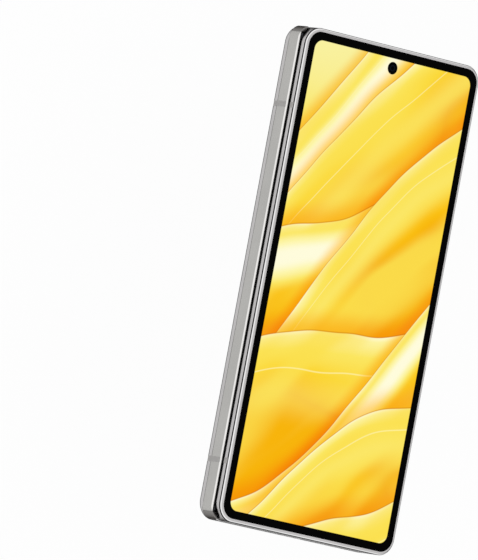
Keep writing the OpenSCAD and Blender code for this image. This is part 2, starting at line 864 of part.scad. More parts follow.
// Plates that carry the pins, two at each end
module hinge_plates() {
    h0 = spine_wall - spine_h_rear;
    h1 = spine_h - spine_wall;
    color([0.3, 0.3, 0.32]) both_ends() intersection() {
        difference() {
            union() {
                for (y = [y_plate_in, y_plate_out]) {
                    prism_y([for (p = [[-spine_face + spine_wall, h0], [0.5, h0], [1.1, h0 + 0.6], [1.1, h1 - 0.6],
                                       [0.5, h1], [-spine_face + spine_wall, h1]]) [x_axis + p[0], z_mid + p[1]]],
                            y, y + plate_w);
                }
            }
            for (s = [-1, 1]) {
                rod_y(x_axis, z_mid + s * axis_gap / 2, pin_r, -far, far);
            }
        }
        spine_plan(spine_wall);
    }
}

module hinge_pins(side) {
    color(steel) both_ends()
        rod_y(x_axis, z_mid + side * axis_gap / 2, pin_r, y_plate_in, y_cap - slip);
}

module rear_hinge_pins() {
    hinge_pins(-1);
}

module cover_hinge_pins() {
    hinge_pins(1);
}

// Inside the cover half

module cover_camera() {
    color(black) cover_place()
        translate([x_mid, y_end - glass_inset - punch_y, 0])
            difference() {
                union() {
                    translate([0, 0, z_seat]) cylinder(r = punch_r - 0.1, h = 1.6);
                    translate([-cover_camera_seat.x / 2, -3.4, z_seat + panel_t + inner_gap])
                        cube([cover_camera_seat.x, cover_camera_seat.y, 2]);
                }
                translate([0, 0, z_seat - 0.01]) cylinder(r1 = 1.2, r2 = 0.5, h = 0.5);
            }
}

module cover_battery() {
    color([0.16, 0.16, 0.18]) cover_place() battery(z_seat + panel_t + inner_gap);
}

module cover_board() {
    x1 = cavity_x1 - cover_board_edge;
    z1 = cover_board_z + board_t;
    color(board_green) cover_place() difference() {
        union() {
            box(cavity_x0 + inner_gap, x1, cover_board_step_y, board_y1, cover_board_z, z1);
            box(x1 - cover_board_leg, x1, board_y0, cover_board_step_y, cover_board_z, z1);
        }
        translate([x_mid, y_end - glass_inset - punch_y, 0])
            cube([for (i = [0, 1]) cover_camera_seat[i] + 2 * cover_camera_gap[i], far], center = true);
    }
}

module cover_chips() {
    color(steel) cover_place() mounted(chips, cover_board_z);
}

module earpiece() {
    color(black) cover_place()
        box(x_mid + ear_x, x_mid + ear_x + ear_l, board_y1 - ear_w, board_y1, z_seat + panel_t + inner_gap, board_z);
}

// Round key through the wall, with a rim that keeps it in and a post on its switch
module key(y, l) {
    inside = key_x0 - key_travel - slip;
    cover_place() {
        pill_x(y, key_side, l, key_w, inside - key_flange, x_open + key_proud, 0.15);
        pill_x(y, key_side, l + 2 * key_rim, key_w, inside - key_flange, key_x0 - slip);
    }
}

module key_slot(y, l) {
    pill_x(y, key_side, l + 2 * key_gap, key_w + 2 * key_gap, key_x0 - 1, x_open + 1);
}

module volume_key() {
    color(silver) key(volume_y, volume_l);
}

module power_key() {
    color(silver) key(power_y, power_l);
}

// Dome switches on a strip behind the keys
module key_switches() {
    face = key_x0 - key_travel - slip - key_flange - key_travel - slip;
    color([0.75, 0.6, 0.3]) cover_place() {
        for (y = [volume_y - volume_l / 4, volume_y + volume_l / 4, power_y]) {
            translate([face - switch_t, y, key_side]) rotate([0, 90, 0]) cylinder(r = switch_r, h = switch_t);
        }
        box(face - switch_t - strip_t, face - switch_t, power_y - power_l / 2, volume_y + volume_l / 2,
            key_side - strip_w / 2, key_side + strip_w / 2);
    }
}

module cover_antenna_bands() {
    color([0.6, 0.6, 0.58]) cover_place() half_bands();
}

// Tray with a face flush in the bottom edge and a window for a small card
module card_tray() {
    color(silver) rear_place() difference() {
        union() {
            slot_y(tray_mid_x, hole_z, tray_face_l - 2 * tray_gap, tray_face_h - 2 * tray_gap, -y_end, -y_end + tray_face_t);
            box(tray_mid_x - tray_w / 2, tray_mid_x + tray_w / 2,
                -y_end + tray_face_t - slip, -y_end + tray_face_t + tray_l, tray_z, tray_z + tray_t);
        }
        box(tray_mid_x - 4.4, tray_mid_x + 4.4, -y_end + tray_face_t + tray_l - 13.7,
            -y_end + tray_face_t + tray_l - 1.4, tray_z + 0.2, far);
        rod_y(tray_mid_x + tray_face_l / 2 - 1.3, hole_z, 0.4, -y_end - 1, -y_end + 0.8);
    }
}

rear_frame();
rear_glass();
camera_island();
lens_ring(0);  // lens_ring_top
lens_ring(1);  // lens_ring_middle
lens_ring(2);  // lens_ring_bottom
lens_glass(0);  // lens_glass_top
lens_glass(1);  // lens_glass_middle
lens_glass(2);  // lens_glass_bottom
camera_module(0);  // camera_module_top
camera_module(1);  // camera_module_middle
camera_module(2);  // camera_module_bottom
flash_lens();
flash_led();
rear_battery();
charging_coil();
main_board();
shield_cans();
usb_shell();
usb_tongue();
loudspeaker();
vibration_motor();
card_reader();
rear_antenna_bands();
inner_screen_rear();
rear_bezel();
inner_camera();
rear_hinge_gears();
rear_arm_screws();
spine_cover();
spine_end_caps();
spine_antenna_marks();
hinge_chassis();
hinge_plates();
rear_hinge_pins();
cover_hinge_pins();
screen_fold();
cover_frame();
cover_glass();
cover_screen();
cover_camera();
cover_battery();
cover_board();
cover_chips();
earpiece();
key_switches();
cover_antenna_bands();
inner_screen_cover();
cover_bezel();
cover_hinge_gears();
cover_arm_screws();
volume_key();
power_key();
card_tray();
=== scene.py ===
import math

import bpy
from mathutils import Matrix, Vector


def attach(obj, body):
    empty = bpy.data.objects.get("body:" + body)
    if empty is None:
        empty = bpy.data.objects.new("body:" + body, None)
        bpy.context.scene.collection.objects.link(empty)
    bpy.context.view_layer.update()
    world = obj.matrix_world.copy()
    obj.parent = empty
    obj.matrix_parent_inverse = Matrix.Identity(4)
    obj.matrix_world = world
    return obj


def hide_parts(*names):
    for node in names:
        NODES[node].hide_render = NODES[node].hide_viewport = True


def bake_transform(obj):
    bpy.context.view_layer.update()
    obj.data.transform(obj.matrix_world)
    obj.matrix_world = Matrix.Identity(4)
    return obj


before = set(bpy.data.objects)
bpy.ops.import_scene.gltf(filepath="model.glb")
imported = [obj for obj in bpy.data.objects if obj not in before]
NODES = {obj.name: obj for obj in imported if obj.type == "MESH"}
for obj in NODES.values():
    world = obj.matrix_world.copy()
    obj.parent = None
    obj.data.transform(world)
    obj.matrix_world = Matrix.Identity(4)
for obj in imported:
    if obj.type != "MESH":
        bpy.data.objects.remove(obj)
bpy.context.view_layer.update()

MM = 0.001

# Places in the part's own frame, in millimetres, as the solids have them
X_MID = 0.15
X_AXIS = -35.05
Z_REAR_AXIS = 6.7
Z_COVER_AXIS = 9.2
Z_MIDDLE = 7.95
AXIS_GAP = Z_COVER_AXIS - Z_REAR_AXIS
POCKET_R = 2.3
SCREEN_HALF_L = 74.45
INNER_BORDER = 0.9
SCREEN_EDGE_X = -32.73
REAR_SCREEN_Z = 7.55
REAR_SCREEN_X1 = 33.0
PUNCH = (0.15, 72.35)
PUNCH_R = 2.0
LENS_X = 20.8
LENS_Y = (65.05, 49.25, 33.45)
LENS_NAMES = ("top", "middle", "bottom")
BARREL_FRONT_Z = 0.75
FLASH = (6.4, 59.65)
SOCKET_X = 1.5
SOCKET_Z = 4.75
SPEAKER_X0 = 11.0
SPEAKER_PITCH = 2.0
SPEAKER_HOLES = 6
END_Y = -79.2

# Cover display: half sizes and corner radius of the lit area
LIT_HALF_W = 32.65
LIT_HALF_L = 75.45
LIT_CORNER_R = 3.0

# Opened inner display
INNER_HALF_W = REAR_SCREEN_X1 - X_AXIS + AXIS_GAP / 2
INNER_CORNER_R = 4.0

# Camera, fitted to the corners of the glass in the photograph; its place is in millimetres
CAMERA_LENS = 900
CAMERA_PLACE = (-2797.49, -279.44, 3430.4)
CAMERA_RIGHT = (0.75859, 0.18196, 0.62564)
CAMERA_UP = (-0.18059, 0.98131, -0.06644)
CAMERA_SENSOR = 36
CAMERA_CLIP = (0.1, 100)

# Floor, world and lamps. FLOOR_WHITE is how much of the floor shows as white, and the rest keeps the shadow.
# Each lamp has its place and side in metres and its power in watts.
FLOOR_Z = -66.0
FLOOR_SIDE = 30
FLOOR_TONE = 0.93
FLOOR_WHITE = 0.93
SOFT_LIGHT = 0.78
WHITE = (1, 1, 1, 1)
LAMPS = {
    "key_lamp": ((-1.15, -0.25, 0.95), 1.0, 6.0),
    "fill_lamp": ((0.9, 0.8, 1.2), 1.0, 1.0),
}

# Metal: radius by which its edges look rounded, its tint at grazing angles and the depth of its grain
EDGE_ROUNDING = 0.4
EDGE_TINT = 0.05
GRAIN_DEPTH = 0.02
GRAIN_BUMP = 0.02

# Distances from the middle of the thickness: the painted dark line of shade along both frames, and the
# polish's end
SHADE_LINE_Z = 4.91
SHADE_LINE_W = 0.42
SHADE_LINE_BLUR = 0.03
POLISH_Z = 5.38
POLISH_BLUR = 0.06

# Blur of the edges of the lit picture and of the camera's hole in it
PICTURE_BLUR = 0.06
# Radii of the painted dark-blue glint ring in the camera's hole
GLINT_RING_RADII = (0.55, 0.85, 1.1)

# Turned grooves of the barrels and rings of the flash window
GROOVE_PITCH = 0.16
GROOVE_DEPTH = 0.2
FLASH_PITCH = 0.14
FLASH_R = 1.9


def linear(code):
    """Scene colour of a hex screen colour."""
    out = []
    for i in (0, 2, 4):
        v = int(code[i:i + 2], 16) / 255
        out.append(v / 12.92 if v <= 0.04045 else ((v + 0.055) / 1.055) ** 2.4)
    return (*out, 1.0)


# Node trees

class Tree:
    """Short calls for adding and joining shader nodes."""

    def __init__(self, tree):
        self.tree = tree
        self.nodes = tree.nodes

    def add(self, kind, **settings):
        n = self.nodes.new(kind)
        for key, value in settings.items():
            setattr(n, key, value)
        return n

    def put(self, socket, value):
        if isinstance(value, bpy.types.NodeSocket):
            self.tree.links.new(value, socket)
        elif value is not None:
            socket.default_value = value

    def math(self, op, a, b=None, c=None, clamp=False):
        n = self.add("ShaderNodeMath", operation=op, use_clamp=clamp)
        for socket, value in zip(n.inputs, (a, b, c)):
            self.put(socket, value)
        return n.outputs[0]

    def vector(self, op, a, b=None, scale=None):
        n = self.add("ShaderNodeVectorMath", operation=op)
        self.put(n.inputs[0], a)
        self.put(n.inputs[1], b)
        if scale is not None:
            self.put(n.inputs["Scale"], scale)
        return n.outputs["Value" if op in ("LENGTH", "DISTANCE", "DOT_PRODUCT") else "Vector"]

    def split(self, v):
        n = self.add("ShaderNodeSeparateXYZ")
        self.put(n.inputs[0], v)
        return n.outputs

    def join(self, x=0.0, y=0.0, z=0.0):
        n = self.add("ShaderNodeCombineXYZ")
        for socket, value in zip(n.inputs, (x, y, z)):
            self.put(socket, value)
        return n.outputs[0]

    def step(self, value, lo, hi, to_lo=0.0, to_hi=1.0):
        n = self.add("ShaderNodeMapRange", interpolation_type="SMOOTHSTEP")
        for socket, v in zip(n.inputs, (value, lo, hi, to_lo, to_hi)):
            self.put(socket, v)
        return n.outputs[0]

    def mix(self, factor, a, b, blend="MIX"):
        n = self.add("ShaderNodeMix", data_type="RGBA", blend_type=blend)
        self.put(n.inputs["Factor"], factor)
        self.put(n.inputs[6], a)
        self.put(n.inputs[7], b)
        return n.outputs[2]

    def shaded(self, colour, shade):
        return self.mix(1.0, colour, self.join(shade, shade, shade), "MULTIPLY")

    def ramp(self, value, stops):
        n = self.add("ShaderNodeValToRGB")
        bar = n.color_ramp
        while len(bar.elements) < len(stops):
            bar.elements.new(0.5)
        for element, (place, code) in zip(bar.elements, stops):
            element.position = place
            element.color = linear(code)
        self.put(n.inputs[0], value)
        return n.outputs[0]

    def noise(self, vector, scale, detail=2.0, rough=0.5):
        n = self.add("ShaderNodeTexNoise")
        self.put(n.inputs["Vector"], vector)
        n.inputs["Scale"].default_value = scale
        n.inputs["Detail"].default_value = detail
        n.inputs["Roughness"].default_value = rough
        return n.outputs["Fac"]

    def group(self, made, **inputs):
        n = self.add("ShaderNodeGroup", node_tree=made)
        for key, value in inputs.items():
            self.put(n.inputs[key], value)
        return n.outputs

    def object_coords(self):
        return self.add("ShaderNodeTexCoord").outputs["Object"]

    def bump(self, height, strength, distance, normal=None):
        n = self.add("ShaderNodeBump")
        self.put(n.inputs["Normal"], normal)
        n.inputs["Strength"].default_value = strength
        n.inputs["Distance"].default_value = distance
        self.put(n.inputs["Height"], height)
        return n.outputs[0]


SOCKETS = {"v": "NodeSocketVector", "f": "NodeSocketFloat", "c": "NodeSocketColor"}


def new_group(name, inputs, outputs):
    """A node group and its Tree, group inputs and group output node."""
    g = bpy.data.node_groups.new(name, "ShaderNodeTree")
    for key, kind in inputs.items():
        g.interface.new_socket(key, in_out="INPUT", socket_type=SOCKETS[kind])
    for key, kind in outputs.items():
        g.interface.new_socket(key, in_out="OUTPUT", socket_type=SOCKETS[kind])
    t = Tree(g)
    return g, t, t.add("NodeGroupInput").outputs, t.add("NodeGroupOutput").inputs


def display_mask_group():
    """1 inside a rectangle with round corners, 0 outside. Lengths are in millimetres."""
    sockets = {"Point": "v", "Half": "v", "Radius": "f", "Soft": "f"}
    g, t, inside, out = new_group("display_mask", sockets, {"Mask": "f"})
    corner = t.join(inside["Radius"], inside["Radius"], 0.0)
    straight = t.vector("SUBTRACT", inside["Half"], corner)
    q = t.vector("SUBTRACT", t.vector("ABSOLUTE", inside["Point"]), straight)
    outer = t.vector("LENGTH", t.vector("MAXIMUM", q, (0.0, 0.0, 0.0)))
    x, y, _ = t.split(q)
    inner = t.math("MINIMUM", t.math("MAXIMUM", x, y), 0.0)
    distance = t.math("SUBTRACT", t.math("ADD", outer, inner), inside["Radius"])
    t.put(out["Mask"], t.step(distance, t.math("MULTIPLY", inside["Soft"], -1.0), inside["Soft"], 1.0, 0.0))
    return g


# Crest lines of the wallpaper's layers, back to front: height, slope, swing, bend, phase, depth, glow
WAVES = (
    (88, 0.95, 12, 0.040, 0.3, 50, 0.9),
    (60, 1.35, 10, 0.036, 2.4, 46, 0.25),
    (38, 0.85, 13, 0.042, 4.2, 38, 0.95),
    (16, 1.15, 10, 0.046, 1.0, 44, 0.3),
    (-12, 0.62, 14, 0.040, 3.3, 40, 0.2),
    (-34, 0.98, 12, 0.044, 5.2, 42, 0.95),
    (-58, 0.55, 13, 0.046, 0.9, 36, 0.3),
    (-78, 0.80, 10, 0.050, 2.8, 40, 0.9),
    (-104, 0.40, 9, 0.055, 4.6, 34, 0.3),
)

# Colours of the silk: the ground behind the layers, and a layer from its crest down
SILK_GROUND = ((0.0, "fbd22a"), (0.5, "fae86c"), (1.0, "f9f1a0"))
SILK_LAYER = ((0.0, "fffad0"), (0.03, "fdf3a0"), (0.14, "fbe660"), (0.36, "fbd52c"),
              (0.6, "fac00e"), (0.84, "f5aa02"), (1.0, "f7b406"))
SILK_DRIFT = 14.0
SHEEN_PLACES = (0.34, 0.5, 0.26)
CAST_SHADOW = (1.0, 0.6, 0.03, 1.0)
CAST_SHADOW_L = 9.0


def wallpaper_group():
    """Layered silk in yellow, cream and amber, rising to the right. Point is in millimetres."""
    g, t, inside, out = new_group("wallpaper", {"Point": "v"}, {"Color": "c"})
    x, y, _ = t.split(inside["Point"])
    drift = t.math("MULTIPLY", t.math("SUBTRACT", t.noise(inside["Point"], 0.03, 1.0), 0.5), SILK_DRIFT)
    along = t.vector("MULTIPLY", inside["Point"], (0.012, 0.03, 0.0))
    width = t.step(t.noise(along, 1.0, 1.0), 0.3, 0.7, 0.7, 1.5)
    down_ribbon = t.math("MULTIPLY", t.math("ADD", x, y), 0.007)
    over_ribbon = t.math("MULTIPLY", t.math("ADD", t.math("SUBTRACT", y, x), drift), 0.05)
    streaks = t.noise(t.join(down_ribbon, over_ribbon, 0.0), 1.0, 1.0)
    colour = t.ramp(t.step(t.math("ADD", y, drift), 20.0, 80.0), SILK_GROUND)
    for number, (height, slope, swing, bend, phase, depth, glow) in enumerate(WAVES):
        swell = t.math("SINE", t.math("ADD", t.math("MULTIPLY", x, bend), phase))
        crest = t.math("ADD", t.math("MULTIPLY_ADD", x, slope, float(height)),
                       t.math("MULTIPLY_ADD", swell, float(swing), t.math("MULTIPLY", drift, 0.4)))
        below = t.math("SUBTRACT", crest, y)
        shade = t.math("DIVIDE", below, t.math("MULTIPLY", width, depth * 0.8), clamp=True)
        face = t.ramp(shade, SILK_LAYER)
        face = t.mix(t.step(streaks, 0.36, 0.62, 0.0, 0.85), face, linear("fbe04e"))
        middle = depth * SHEEN_PLACES[number % 3]
        light = t.step(t.math("ABSOLUTE", t.math("SUBTRACT", below, middle)), 0.0, depth * 0.3, glow, 0.0)
        face = t.mix(t.step(light, 0.0, 0.4), face, linear("fbe765"))
        face = t.mix(t.step(light, 0.25, 0.7), face, linear("fdf6ac"))
        face = t.mix(t.step(light, 0.6, 0.95, 0.0, 0.8), face, linear("fffde6"))
        hair = t.step(t.math("ABSOLUTE", t.math("SUBTRACT", below, middle * 0.6)), 0.05, 0.35, 0.6, 0.0)
        face = t.mix(hair, face, linear("fff6b4"))
        colour = t.mix(t.step(below, -CAST_SHADOW_L, 0.0, 0.0, 0.8), colour, CAST_SHADOW, "MULTIPLY")
        colour = t.mix(t.step(below, -0.55, -0.2, 0.0, 0.55), colour, linear("c47a06"))
        colour = t.mix(t.step(below, -0.15, 0.15), colour, face)
    t.put(out["Color"], colour)
    return g


def grain_group():
    """Fine blasted grain and a slow drift of tone, both from 0 to 1."""
    g, t, inside, out = new_group("grain", {"Point": "v"}, {"Grain": "f", "Drift": "f"})
    fine = t.noise(inside["Point"], 5200.0, 3.0, 0.6)
    wide = t.noise(inside["Point"], 60.0, 2.0)
    t.put(out["Grain"], fine)
    t.put(out["Drift"], wide)
    return g


def hinge_shade_group():
    """1 in the round pockets of the hinge, which are painted near-black as shade. Point is in millimetres.
    """
    g, t, inside, out = new_group("hinge_shade", {"Point": "v"}, {"Mask": "f"})
    flat = t.vector("MULTIPLY", inside["Point"], (1.0, 0.0, 1.0))
    rear = t.vector("DISTANCE", flat, (X_AXIS, 0.0, Z_REAR_AXIS))
    cover = t.vector("DISTANCE", flat, (X_AXIS, 0.0, Z_COVER_AXIS))
    nearest = t.math("MINIMUM", rear, cover)
    t.put(out["Mask"], t.step(nearest, POCKET_R + 0.03, POCKET_R + 0.1, 1.0, 0.0))
    return g


def chamfer_group():
    """1 on the polished outer part of the sloping faces, which is smoother and painted paler as a highlight.
    Point is in millimetres.
    """
    g, t, inside, out = new_group("chamfer", {"Point": "v", "Normal": "v"}, {"Mask": "f"})
    _, _, lean = t.split(inside["Normal"])
    lean = t.math("ABSOLUTE", lean)
    _, _, z = t.split(inside["Point"])
    off = t.math("ABSOLUTE", t.math("SUBTRACT", z, Z_MIDDLE))
    slope = t.math("MULTIPLY", t.step(lean, 0.25, 0.5), t.step(lean, 0.8, 0.95, 1.0, 0.0))
    near = t.step(off, POLISH_Z - POLISH_BLUR, POLISH_Z + POLISH_BLUR, 1.0, 0.0)
    t.put(out["Mask"], t.math("MULTIPLY", slope, near))
    return g


def painted_edge_shade_group():
    """1 on the painted dark line of shade between the satin band and the polished chamfer. Point is in
    millimetres.
    """
    g, t, inside, out = new_group("painted_edge_shade", {"Point": "v", "Normal": "v"}, {"Mask": "f"})
    _, _, z = t.split(inside["Point"])
    _, _, lean = t.split(inside["Normal"])
    height = t.math("ABSOLUTE", t.math("SUBTRACT", z, Z_MIDDLE))
    off = t.math("ABSOLUTE", t.math("SUBTRACT", height, SHADE_LINE_Z))
    line = t.step(off, SHADE_LINE_W / 2 - SHADE_LINE_BLUR, SHADE_LINE_W / 2 + SHADE_LINE_BLUR, 1.0, 0.0)
    upright = t.step(t.math("ABSOLUTE", lean), 0.8, 0.9, 1.0, 0.0)
    t.put(out["Mask"], t.math("MULTIPLY", line, upright))
    return g


GROUPS = {
    "painted_edge_shade": painted_edge_shade_group(),
    "display_mask": display_mask_group(),
    "wallpaper": wallpaper_group(),
    "grain": grain_group(),
    "hinge_shade": hinge_shade_group(),
    "chamfer": chamfer_group(),
}


def new_material(name):
    """A material, its Tree and its Principled shader's inputs."""
    m = bpy.data.materials.new(name)
    m.use_nodes = True
    t = Tree(m.node_tree)
    t.nodes.clear()
    shader = t.add("ShaderNodeBsdfPrincipled")
    target = t.add("ShaderNodeOutputMaterial")
    m.node_tree.links.new(shader.outputs[0], target.inputs["Surface"])
    return m, t, shader.inputs


def millimetres(t, coords=None):
    return t.vector("SCALE", coords or t.object_coords(), scale=1000.0)


# Materials

def metal(name, flat, polished_highlight, roughness, is_frame=False):
    """Satin aluminium with rounded edges, polished chamfers painted paler as a highlight, and grain; a frame
    also has a painted dark line of shade and hinge pockets painted near-black as shade.
    """
    m, t, s = new_material(name)
    coords = t.add("ShaderNodeTexCoord")
    grain = t.group(GROUPS["grain"], Point=coords.outputs["Object"])
    point = millimetres(t, coords.outputs["Object"])
    chamfer = t.group(GROUPS["chamfer"], Point=point, Normal=coords.outputs["Normal"])["Mask"]
    tone = t.step(grain["Drift"], 0.3, 0.7, 0.97, 1.03)
    # the chamfer's paler colour is partly its polish and partly a painted highlight
    colour = t.shaded(t.mix(chamfer, linear(flat), linear(polished_highlight)), tone)
    rough = t.step(grain["Grain"], 0.3, 0.7, roughness * 0.85, roughness * 1.15)
    rough = t.math("MULTIPLY", rough, t.step(chamfer, 0.0, 1.0, 1.0, 0.5))
    s["Metallic"].default_value = 1.0
    s["Specular Tint"].default_value = (EDGE_TINT, EDGE_TINT, EDGE_TINT, 1.0)
    if is_frame:
        # painted shade: a fine dark line where the satin band meets the chamfer
        line = t.group(GROUPS["painted_edge_shade"], Point=point, Normal=coords.outputs["Normal"])["Mask"]
        colour = t.mix(line, colour, linear("242424"))
        # painted shade: the hinge pockets are painted near-black and not metallic
        pocket_shade = t.group(GROUPS["hinge_shade"], Point=point)["Mask"]
        colour = t.mix(pocket_shade, colour, linear("060606"))
        rough = t.step(pocket_shade, 0.0, 1.0, rough, 0.6)
        t.put(s["Metallic"], t.step(pocket_shade, 0.0, 1.0, 1.0, 0.0))
    t.put(s["Base Color"], colour)
    t.put(s["Roughness"], rough)
    rounded = t.add("ShaderNodeBevel", samples=6)
    rounded.inputs["Radius"].default_value = EDGE_ROUNDING * MM
    t.put(s["Normal"], t.bump(grain["Grain"], GRAIN_BUMP, GRAIN_DEPTH * MM, rounded.outputs[0]))
    return m


def plastic(name, colour, roughness, speck=0.06, scale=900.0, bump=0.15):
    """Moulded plastic: faint specks in the tone and a fine texture."""
    m, t, s = new_material(name)
    coords = t.object_coords()
    fine = t.noise(coords, scale, 3.0)
    shade = t.step(fine, 0.25, 0.75, 1.0 - speck, 1.0 + speck)
    t.put(s["Base Color"], t.shaded(linear(colour), shade))
    t.put(s["Roughness"], t.step(fine, 0.2, 0.8, roughness - 0.05, roughness + 0.05))
    t.put(s["Normal"], t.bump(t.noise(coords, scale * 4, 2.0), bump, GRAIN_DEPTH * MM))
    return m


def plain_metal(name, colour, roughness, scale=1500.0, stretch=(1.0, 1.0, 1.0)):
    """Machined metal with fine lines along the stretched direction."""
    m, t, s = new_material(name)
    lines = t.noise(t.vector("MULTIPLY", t.object_coords(), stretch), scale, 3.0)
    shade = t.step(lines, 0.2, 0.8, 0.9, 1.08)
    t.put(s["Base Color"], t.shaded(linear(colour), shade))
    s["Metallic"].default_value = 1.0
    t.put(s["Roughness"], t.step(lines, 0.2, 0.8, roughness - 0.06, roughness + 0.06))
    t.put(s["Normal"], t.bump(lines, 0.1, GRAIN_DEPTH * MM))
    return m


def cover_display():
    """Glass of the cover display: black border, lit wallpaper and the camera's hole with a painted dark-blue
    glint ring.
    """
    m, t, s = new_material("cover_display")
    point = millimetres(t)
    centred = t.vector("MULTIPLY", t.vector("SUBTRACT", point, (X_MID, 0.0, 0.0)), (1.0, 1.0, 0.0))
    lit = t.group(GROUPS["display_mask"], Point=centred, Half=(LIT_HALF_W, LIT_HALF_L, 0.0),
                  Radius=LIT_CORNER_R, Soft=PICTURE_BLUR)["Mask"]
    from_hole = t.vector("DISTANCE", t.vector("MULTIPLY", point, (1.0, 1.0, 0.0)), (*PUNCH, 0.0))
    lit = t.math("MULTIPLY", lit, t.step(from_hole, PUNCH_R - PICTURE_BLUR, PUNCH_R + PICTURE_BLUR))
    picture = t.group(GROUPS["wallpaper"], Point=centred)["Color"]
    inner, middle, outer = GLINT_RING_RADII
    glint_ring = t.math("MULTIPLY", t.step(from_hole, inner, middle), t.step(from_hole, middle, outer, 1.0, 0.0))
    # painted highlight: a dark-blue glint ring in the camera's hole
    t.put(s["Base Color"], t.mix(glint_ring, linear("020202"), linear("11161f")))
    t.put(s["Emission Color"], t.mix(lit, (0.0, 0.0, 0.0, 1.0), picture))
    s["Emission Strength"].default_value = 1.0
    smear = t.noise(t.vector("MULTIPLY", point, (0.03, 0.08, 0.0)), 1.0, 3.0)
    t.put(s["Roughness"], t.step(smear, 0.3, 0.7, 0.03, 0.07))
    s["Specular IOR Level"].default_value = 0.012
    return m


def inner_display(name, side):
    """Folding inner screen, in the coordinates of the opened display. side 0 reads the piece's own UVs."""
    m, t, s = new_material(name)
    if side:
        x, y, _ = t.split(millimetres(t))
        across = t.math("ADD", t.math("SUBTRACT", x, X_AXIS), AXIS_GAP / 2)
        point = t.join(t.math("MULTIPLY", across, float(side)), y, 0.0)
    else:
        point = millimetres(t, t.add("ShaderNodeUVMap", uv_map="UVMap").outputs[0])
    half = (INNER_HALF_W - INNER_BORDER, SCREEN_HALF_L - INNER_BORDER, 0.0)
    lit = t.group(GROUPS["display_mask"], Point=point, Half=half,
                  Radius=INNER_CORNER_R, Soft=PICTURE_BLUR)["Mask"]
    picture = t.group(GROUPS["wallpaper"], Point=t.vector("MULTIPLY", point, (0.9, 1.0, 0.0)))["Color"]
    across, _, _ = t.split(point)
    # painted shade: the picture is painted darker towards the fold
    crease_shade = t.step(t.math("ABSOLUTE", across), 0.0, 5.0, 0.9, 1.0)
    t.put(s["Base Color"], linear("060505"))
    t.put(s["Emission Color"], t.mix(lit, (0.0, 0.0, 0.0, 1.0), t.shaded(picture, crease_shade)))
    s["Emission Strength"].default_value = 1.0
    t.put(s["Roughness"], t.step(t.noise(point, 0.2, 2.0), 0.3, 0.7, 0.12, 0.18))
    s["Specular IOR Level"].default_value = 0.2
    return m


def back_glass():
    """Frosted silver glass with a painted sweep of light and shade across it and a faint sparkle."""
    m, t, s = new_material("back_glass")
    point = millimetres(t)
    x, y, _ = t.split(point)
    # painted light and shade: paler towards +X and +Y, darker towards -X and -Y
    painted_light_sweep = t.math("ADD", t.math("MULTIPLY", y, 0.0052), t.math("MULTIPLY", x, 0.0045))
    place = t.math("ADD", painted_light_sweep, 0.5, clamp=True)
    tone = t.ramp(place, ((0.0, "9ba1a9"), (0.45, "c3c7cb"), (1.0, "e4e6e8")))
    spark = t.noise(point, 9.0, 2.0, 0.7)
    shade = t.step(spark, 0.3, 0.7, 0.985, 1.015)
    t.put(s["Base Color"], t.shaded(tone, shade))
    s["Metallic"].default_value = 0.55
    t.put(s["Roughness"], t.step(spark, 0.3, 0.7, 0.30, 0.36))
    t.put(s["Normal"], t.bump(spark, 0.04, GRAIN_DEPTH * MM))
    s["Coat Weight"].default_value = 0.25
    s["Coat Roughness"].default_value = 0.2
    return m


def clear_glass():
    """Flat clear cover glass of the rear lenses, faintly tinted and coated."""
    m, t, s = new_material("lens_cover_glass")
    smear = t.noise(millimetres(t), 0.4, 3.0)
    t.put(s["Base Color"], t.mix(smear, linear("8f979f"), linear("a2abb3")))
    t.put(s["Roughness"], t.step(smear, 0.3, 0.7, 0.0, 0.02))
    s["Transmission Weight"].default_value = 1.0
    s["Specular IOR Level"].default_value = 0.14
    s["IOR"].default_value = 1.2
    return m


def lens_element():
    """Curved front element: black from the front, blue and teal towards its rim."""
    m, t, s = new_material("lens_element")
    facing = t.add("ShaderNodeLayerWeight")
    facing.inputs["Blend"].default_value = 0.45
    t.put(s["Base Color"], t.ramp(facing.outputs["Facing"], (
        (0.0, "07101f"), (0.1, "1c4f8e"), (0.24, "2a8fb4"),
        (0.4, "2a2470"), (0.7, "050508"), (1.0, "010102"))))
    s["Metallic"].default_value = 0.5
    t.put(s["Roughness"], t.step(t.noise(t.object_coords(), 800.0), 0.3, 0.7, 0.03, 0.06))
    s["Coat Weight"].default_value = 0.3
    s["Coat Roughness"].default_value = 0.02
    return m


def barrel_black():
    """Black barrel with turned grooves round each lens axis."""
    m, t, s = new_material("barrel_black")
    point = t.vector("MULTIPLY", millimetres(t), (1.0, 1.0, 0.0))
    near = None
    for y in LENS_Y:
        d = t.vector("DISTANCE", point, (LENS_X, y, 0.0))
        near = d if near is None else t.math("MINIMUM", near, d)
    groove = t.math("PINGPONG", near, GROOVE_PITCH)
    lip = t.math("MULTIPLY", t.step(near, 2.55, 2.75), t.step(near, 2.9, 3.1, 1.0, 0.0))
    t.put(s["Base Color"], t.mix(lip, linear("050506"), linear("1e2126")))
    t.put(s["Roughness"], t.step(groove, 0.0, GROOVE_PITCH, 0.28, 0.5))
    t.put(s["Normal"], t.bump(groove, 0.5, GROOVE_DEPTH * MM))
    s["Specular IOR Level"].default_value = 0.12
    return m


def flash_cover():
    """Cream flash window with fine concentric rings."""
    m, t, s = new_material("flash_cover")
    point = t.vector("MULTIPLY", millimetres(t), (1.0, 1.0, 0.0))
    d = t.vector("DISTANCE", point, (*FLASH, 0.0))
    ring = t.math("PINGPONG", d, FLASH_PITCH)
    t.put(s["Base Color"], t.ramp(t.math("DIVIDE", d, FLASH_R), (
        (0.0, "ffe9a0"), (0.4, "f6dca8"), (0.75, "efe6d4"), (1.0, "d9d6d0"))))
    t.put(s["Roughness"], t.step(ring, 0.0, FLASH_PITCH, 0.2, 0.4))
    t.put(s["Normal"], t.bump(ring, 0.4, GROOVE_DEPTH * MM))
    s["Coat Weight"].default_value = 0.6
    return m


